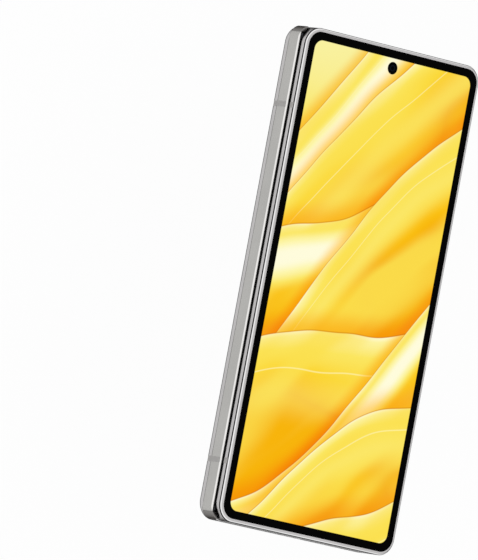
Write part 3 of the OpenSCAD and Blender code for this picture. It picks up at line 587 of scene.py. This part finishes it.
MAT = {
    "frame": metal("frame_metal", "c2c0c0", "f4f3f3", 0.24, is_frame=True),
    "spine": metal("spine_metal", "b9b8b5", "eceae8", 0.28),
    # painted shade: the spine's end caps take a darker copy of the spine metal, for the shade round the
    # corners
    "spine_end": metal("spine_end_shaded_metal", "8c8a88", "c4c2c0", 0.28),
    "island": metal("island_metal", "d3d5d7", "eeeff0", 0.26),
    "ring": plain_metal("lens_ring_metal", "ecedef", 0.16, 900.0, (1.0, 1.0, 6.0)),
    "key": metal("key_metal", "b6b4b3", "f4f3f3", 0.24),
    "antenna": plastic("antenna_plastic", "989694", 0.42, 0.04),
    "black": plastic("black_plastic", "0c0c0d", 0.42, 0.1),
    "chassis": plastic("chassis_black", "050506", 0.55, 0.1),
    "steel": plain_metal("hinge_steel", "8f9092", 0.3, 700.0, (1.0, 8.0, 1.0)),
    "dark": plain_metal("dark_metal", "3a3b3e", 0.38, 900.0),
    "gold": plain_metal("contact_gold", "d9b25c", 0.25, 2000.0),
    "battery": plastic("battery_wrap", "1c1d20", 0.45, 0.12, 300.0),
    "board": plastic("circuit_board", "15402f", 0.5, 0.2, 500.0),
    "copper": plain_metal("coil_copper", "b87345", 0.35, 1200.0),
    "cover_display": cover_display(),
    "inner_rear": inner_display("inner_display_rear", 1),
    "inner_cover": inner_display("inner_display_cover", -1),
    "inner_fold": inner_display("inner_display_fold", 0),
    "back": back_glass(),
    "lens_glass": clear_glass(),
    "element": lens_element(),
    "barrel": barrel_black(),
    "flash": flash_cover(),
}

NODE_MATERIAL = {
    "rear_frame": "frame", "cover_frame": "frame", "rear_glass": "back", "camera_island": "island",
    "cover_glass": "cover_display", "cover_screen": "black", "cover_camera": "black",
    "flash_lens": "flash", "flash_led": "flash",
    "spine_cover": "spine", "spine_end_caps": "spine_end", "spine_antenna_marks": "antenna",
    "rear_antenna_bands": "antenna", "cover_antenna_bands": "antenna",
    "hinge_chassis": "chassis", "hinge_plates": "dark",
    "rear_hinge_pins": "steel", "cover_hinge_pins": "steel", "rear_hinge_gears": "dark",
    "cover_hinge_gears": "dark", "rear_arm_screws": "dark", "cover_arm_screws": "dark",
    "inner_screen_rear": "inner_rear", "inner_screen_cover": "inner_cover", "screen_fold": "inner_fold",
    "rear_bezel": "black", "cover_bezel": "black", "inner_camera": "barrel",
    "volume_key": "key", "power_key": "key", "card_tray": "key", "card_reader": "steel",
    "usb_shell": "steel", "usb_tongue": "black", "loudspeaker": "black", "earpiece": "black",
    "vibration_motor": "steel", "rear_battery": "battery", "cover_battery": "battery",
    "charging_coil": "copper", "main_board": "board", "cover_board": "board",
    "shield_cans": "steel", "cover_chips": "dark", "key_switches": "gold",
}
for lens in LENS_NAMES:
    NODE_MATERIAL["lens_ring_" + lens] = "ring"
    NODE_MATERIAL["lens_glass_" + lens] = "lens_glass"
    NODE_MATERIAL["camera_module_" + lens] = "barrel"


def dress_nodes():
    for name, node in NODES.items():
        node.data.materials.clear()
        node.data.materials.append(MAT[NODE_MATERIAL[name]])


# Modelling helpers

def deselect():
    if bpy.context.object and bpy.context.object.mode != "OBJECT":
        bpy.ops.object.mode_set(mode="OBJECT")
    bpy.ops.object.select_all(action="DESELECT")


def named(name, material, body):
    """Finishes the active object as a piece of the model."""
    piece = bpy.context.object
    piece.name = name
    piece.data.name = name
    piece.data.materials.clear()
    piece.data.materials.append(MAT[material])
    deselect()
    piece.select_set(True)
    bpy.context.view_layer.objects.active = piece
    bpy.ops.object.transform_apply(location=True, rotation=True, scale=True)
    if body:
        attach(piece, body)
    return piece


def pick_faces(piece, test):
    """Edit mode with only those faces selected whose centre and normal pass the test."""
    bpy.ops.object.mode_set(mode="EDIT")
    bpy.ops.mesh.select_all(action="DESELECT")
    bpy.ops.object.mode_set(mode="OBJECT")
    for face in piece.data.polygons:
        face.select = test(face.center, face.normal)
    bpy.ops.object.mode_set(mode="EDIT")
    bpy.ops.mesh.select_mode(type="FACE")


def smooth(piece, degrees=30):
    deselect()
    piece.select_set(True)
    bpy.context.view_layer.objects.active = piece
    bpy.ops.object.shade_smooth_by_angle(angle=math.radians(degrees))


# Lens optics: the front element's radius and thickness, and the dome as insets with their rises

ELEMENT_R = 2.45
ELEMENT_T = 0.5
ELEMENT_SEAT = 0.35
DOME = ((0.22, 0.12), (0.1, 0.1), (0.3, -0.13), (0.4, -0.12), (0.45, -0.08), (0.5, -0.03))


def lens_front(lens, y):
    """Domed front element in a turned seat, inside the barrel's opening."""
    deselect()
    bpy.ops.mesh.primitive_cylinder_add(vertices=64, radius=ELEMENT_R * MM, depth=ELEMENT_T * MM,
                                        end_fill_type="NGON", location=(0, 0, 0))
    piece = bpy.context.object
    pick_faces(piece, lambda centre, normal: normal.z < -0.9)
    for inset, rise in DOME:
        bpy.ops.mesh.inset(thickness=inset * MM)
        bpy.ops.transform.translate(value=(0, 0, rise * MM))
    bpy.ops.object.mode_set(mode="OBJECT")
    piece.location = (LENS_X * MM, y * MM, (BARREL_FRONT_Z + ELEMENT_SEAT) * MM)
    named("lens_front_" + lens, "element", "rear_half")
    smooth(piece, 40)


# Folding screen: steps round the fold, steps along it and the skin's thickness

FOLD_STEPS = 28
FOLD_STEPS_ALONG = 12
SKIN_T = 0.14
HALVINGS = 60


def fold_rest_point(x, z, side):
    """Place at rest of a point that lies at x, z when the phone is open; side is -1 for the rear half."""
    axis_z = Z_REAR_AXIS if side < 0 else Z_COVER_AXIS
    start, end = fold_ends(side)
    d = (end[0] - start[0], end[1] - start[1])
    length2 = d[0] ** 2 + d[1] ** 2

    def at(t):
        w = t * t * (3 - 2 * t)
        turn = -side * w * math.pi / 2
        dx, dz = x - X_AXIS, z - axis_z
        c, s = math.cos(turn), math.sin(turn)
        return X_AXIS + dx * c - dz * s, axis_z + dx * s + dz * c

    def miss(t):
        px, pz = at(t)
        return ((px - start[0]) * d[0] + (pz - start[1]) * d[1]) / length2 - t

    lo, hi = 0.0, 1.0
    if miss(lo) <= 0:
        return at(0.0)
    if miss(hi) >= 0:
        return at(1.0)
    for _ in range(HALVINGS):
        middle = (lo + hi) / 2
        if miss(middle) > 0:
            lo = middle
        else:
            hi = middle
    return at(lo)


def fold_ends(side):
    """Start and end of a blend in the X-Z plane at rest: the middle of the fold and the panel's edge."""
    middle = (X_AXIS + REAR_SCREEN_Z - Z_REAR_AXIS, Z_MIDDLE)
    edge = (SCREEN_EDGE_X, Z_MIDDLE + side * (Z_MIDDLE - REAR_SCREEN_Z))
    return middle, edge


def fold_skin(name, side):
    """One half of the bending strip, made flat as in the open phone and then laid in its closed place."""
    reach = SCREEN_EDGE_X - X_AXIS + AXIS_GAP / 2
    x_face = X_AXIS + REAR_SCREEN_Z - Z_REAR_AXIS
    deselect()
    bpy.ops.mesh.primitive_grid_add(x_subdivisions=FOLD_STEPS, y_subdivisions=FOLD_STEPS_ALONG,
                                    size=1, location=(0.5, 0, 0))
    piece = bpy.context.object
    bpy.ops.object.transform_apply(location=True, rotation=True, scale=True)
    pick_faces(piece, lambda centre, normal: True)
    bpy.ops.mesh.extrude_region_move(TRANSFORM_OT_translate={"value": (0, 0, -1.0)})
    bpy.ops.object.mode_set(mode="OBJECT")
    mesh = piece.data
    uv = mesh.uv_layers["UVMap"].data
    for loop in mesh.loops:
        p = mesh.vertices[loop.vertex_index].co
        uv[loop.index].uv = (-side * p.x * reach * MM, p.y * 2 * SCREEN_HALF_L * MM)
    for v in mesh.vertices:
        x, z = fold_rest_point(x_face + v.co.z * SKIN_T, Z_MIDDLE + side * v.co.x * reach, side)
        v.co = (x * MM, v.co.y * 2 * SCREEN_HALF_L * MM, z * MM)
    bpy.ops.object.mode_set(mode="EDIT")
    bpy.ops.mesh.select_all(action="SELECT")
    bpy.ops.mesh.normals_make_consistent(inside=False)
    bpy.ops.object.mode_set(mode="OBJECT")
    named(name, "inner_fold", None)
    smooth(piece, 50)
    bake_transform(piece)
    return piece


# Small parts: one contact's size, their number, pitch and the height between both rows; the dust mesh

CONTACT = (0.26, 3.6, 0.03)
CONTACTS = 12
CONTACT_PITCH = 0.5
CONTACT_ROWS_GAP = 0.73
MESH_MARGIN = 1.6
MESH_H = 1.5
MESH_DEPTH = 4.1
WIRE_T = 0.12


def socket_contacts():
    """Twelve gold contacts on the upper side of the socket's tongue and twelve below."""
    deselect()
    bpy.ops.mesh.primitive_cube_add(size=1, location=(0, 0, 0))
    piece = bpy.context.object
    piece.scale = [side * MM for side in CONTACT]
    bpy.ops.object.transform_apply(location=True, rotation=True, scale=True)
    pick_faces(piece, lambda centre, normal: normal.y < -0.9)
    bpy.ops.transform.resize(value=(0.6, 1, 0.5))
    bpy.ops.object.mode_set(mode="OBJECT")
    for axis, count, gap in ((0, CONTACTS, CONTACT_PITCH), (2, 2, CONTACT_ROWS_GAP)):
        array = piece.modifiers.new("repeat", "ARRAY")
        array.use_relative_offset = False
        array.use_constant_offset = True
        offset = [0.0, 0.0, 0.0]
        offset[axis] = gap * MM
        array.constant_offset_displace = offset
        array.count = count
        bpy.ops.object.modifier_apply(modifier="repeat")
    first_x = SOCKET_X - (CONTACTS - 1) / 2 * CONTACT_PITCH
    piece.location = (first_x * MM, (END_Y + CONTACT[1]) * MM, (SOCKET_Z - CONTACT_ROWS_GAP / 2) * MM)
    named("socket_contacts", "gold", "rear_half")


def speaker_mesh():
    """Woven dust mesh behind the row of speaker holes."""
    width = (SPEAKER_HOLES - 1) * SPEAKER_PITCH + MESH_MARGIN
    deselect()
    bpy.ops.mesh.primitive_grid_add(x_subdivisions=48, y_subdivisions=7, size=1, location=(0, 0, 0))
    piece = bpy.context.object
    piece.scale = (width * MM, MESH_H * MM, 1)
    bpy.ops.object.transform_apply(location=True, rotation=True, scale=True)
    wires = piece.modifiers.new("wires", "WIREFRAME")
    wires.thickness = WIRE_T * MM
    wires.use_replace = True
    bpy.ops.object.modifier_apply(modifier="wires")
    piece.rotation_euler = (math.radians(90), 0, 0)
    centre = SPEAKER_X0 + (SPEAKER_HOLES - 1) * SPEAKER_PITCH / 2
    piece.location = (centre * MM, (END_Y + MESH_DEPTH) * MM, SOCKET_Z * MM)
    named("speaker_mesh", "dark", "rear_half")


dress_nodes()
for lens, lens_y in zip(LENS_NAMES, LENS_Y):
    lens_front(lens, lens_y)
fold_rear = fold_skin("fold_skin_rear", -1)
fold_skin("fold_skin_cover", 1)
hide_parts("screen_fold")
socket_contacts()
speaker_mesh()


# Floor, world, lamps and camera

def seen_background(t):
    """1 for the rays that show the white background."""
    path = t.add("ShaderNodeLightPath")
    rays = (path.outputs["Is Glossy Ray"], path.outputs["Is Transmission Ray"])
    return t.math("MAXIMUM", path.outputs["Is Camera Ray"], t.math("MAXIMUM", *rays))


def white_glow(t, kind, strength):
    """White light from an Emission or Background node."""
    n = t.add(kind)
    n.inputs["Color"].default_value = WHITE
    n.inputs["Strength"].default_value = strength
    return n.outputs[0]


def blend_shaders(t, share, first, second):
    n = t.add("ShaderNodeMixShader")
    for socket, value in zip(n.inputs, (share, first, second)):
        t.tree.links.new(value, socket)
    return n.outputs[0]


def make_floor():
    """Pale floor that keeps the soft shadow and can be looked through from below."""
    deselect()
    bpy.ops.mesh.primitive_plane_add(size=FLOOR_SIDE, location=(0, 0, FLOOR_Z * MM))
    floor = bpy.context.object
    floor.name = "floor"
    m, t, s = new_material("pale_floor")
    s["Base Color"].default_value = (FLOOR_TONE, FLOOR_TONE, FLOOR_TONE, 1)
    s["Roughness"].default_value = 0.9
    s["Specular IOR Level"].default_value = 0.0
    shader = next(n for n in t.nodes if n.type == "BSDF_PRINCIPLED")
    target = next(n for n in t.nodes if n.type == "OUTPUT_MATERIAL")
    white = white_glow(t, "ShaderNodeEmission", 1.0)
    share = t.math("MULTIPLY", seen_background(t), FLOOR_WHITE)
    top = blend_shaders(t, share, shader.outputs[0], white)
    through = t.add("ShaderNodeBsdfTransparent").outputs[0]
    below = t.add("ShaderNodeNewGeometry").outputs["Backfacing"]
    t.tree.links.new(blend_shaders(t, below, top, through), target.inputs["Surface"])
    floor.data.materials.append(m)


def make_world():
    """White for the camera, for reflections and through glass, with soft light on the rest."""
    world = bpy.data.worlds.new("studio")
    bpy.context.scene.world = world
    world.use_nodes = True
    t = Tree(world.node_tree)
    t.nodes.clear()
    soft = white_glow(t, "ShaderNodeBackground", SOFT_LIGHT)
    white = white_glow(t, "ShaderNodeBackground", 1.0)
    target = t.add("ShaderNodeOutputWorld")
    t.tree.links.new(blend_shaders(t, seen_background(t), soft, white), target.inputs["Surface"])


def soft_lamp(name, place, size, watts):
    """Square lamp that faces the phone and doesn't show in reflections."""
    data = bpy.data.lights.new(name, "AREA")
    data.shape = "SQUARE"
    data.size = size
    data.energy = watts
    lamp = bpy.data.objects.new(name, data)
    bpy.context.collection.objects.link(lamp)
    lamp.location = place
    lamp.visible_glossy = False
    lamp.rotation_euler = (-Vector(place)).to_track_quat("-Z", "Y").to_euler()


def make_camera():
    data = bpy.data.cameras.new("camera")
    data.lens = CAMERA_LENS
    data.sensor_width = CAMERA_SENSOR
    data.clip_start, data.clip_end = CAMERA_CLIP
    cam = bpy.data.objects.new("camera", data)
    bpy.context.collection.objects.link(cam)
    right, up = Vector(CAMERA_RIGHT).normalized(), Vector(CAMERA_UP).normalized()
    back = right.cross(up)
    turn = Matrix((right, up, back)).transposed().to_4x4()
    cam.matrix_world = Matrix.Translation(Vector(CAMERA_PLACE) * MM) @ turn
    bpy.context.scene.camera = cam


make_floor()
make_world()
for lamp_name, (lamp_place, lamp_side, lamp_watts) in LAMPS.items():
    soft_lamp(lamp_name, lamp_place, lamp_side, lamp_watts)
make_camera()
bpy.context.scene.view_settings.view_transform = "Standard"
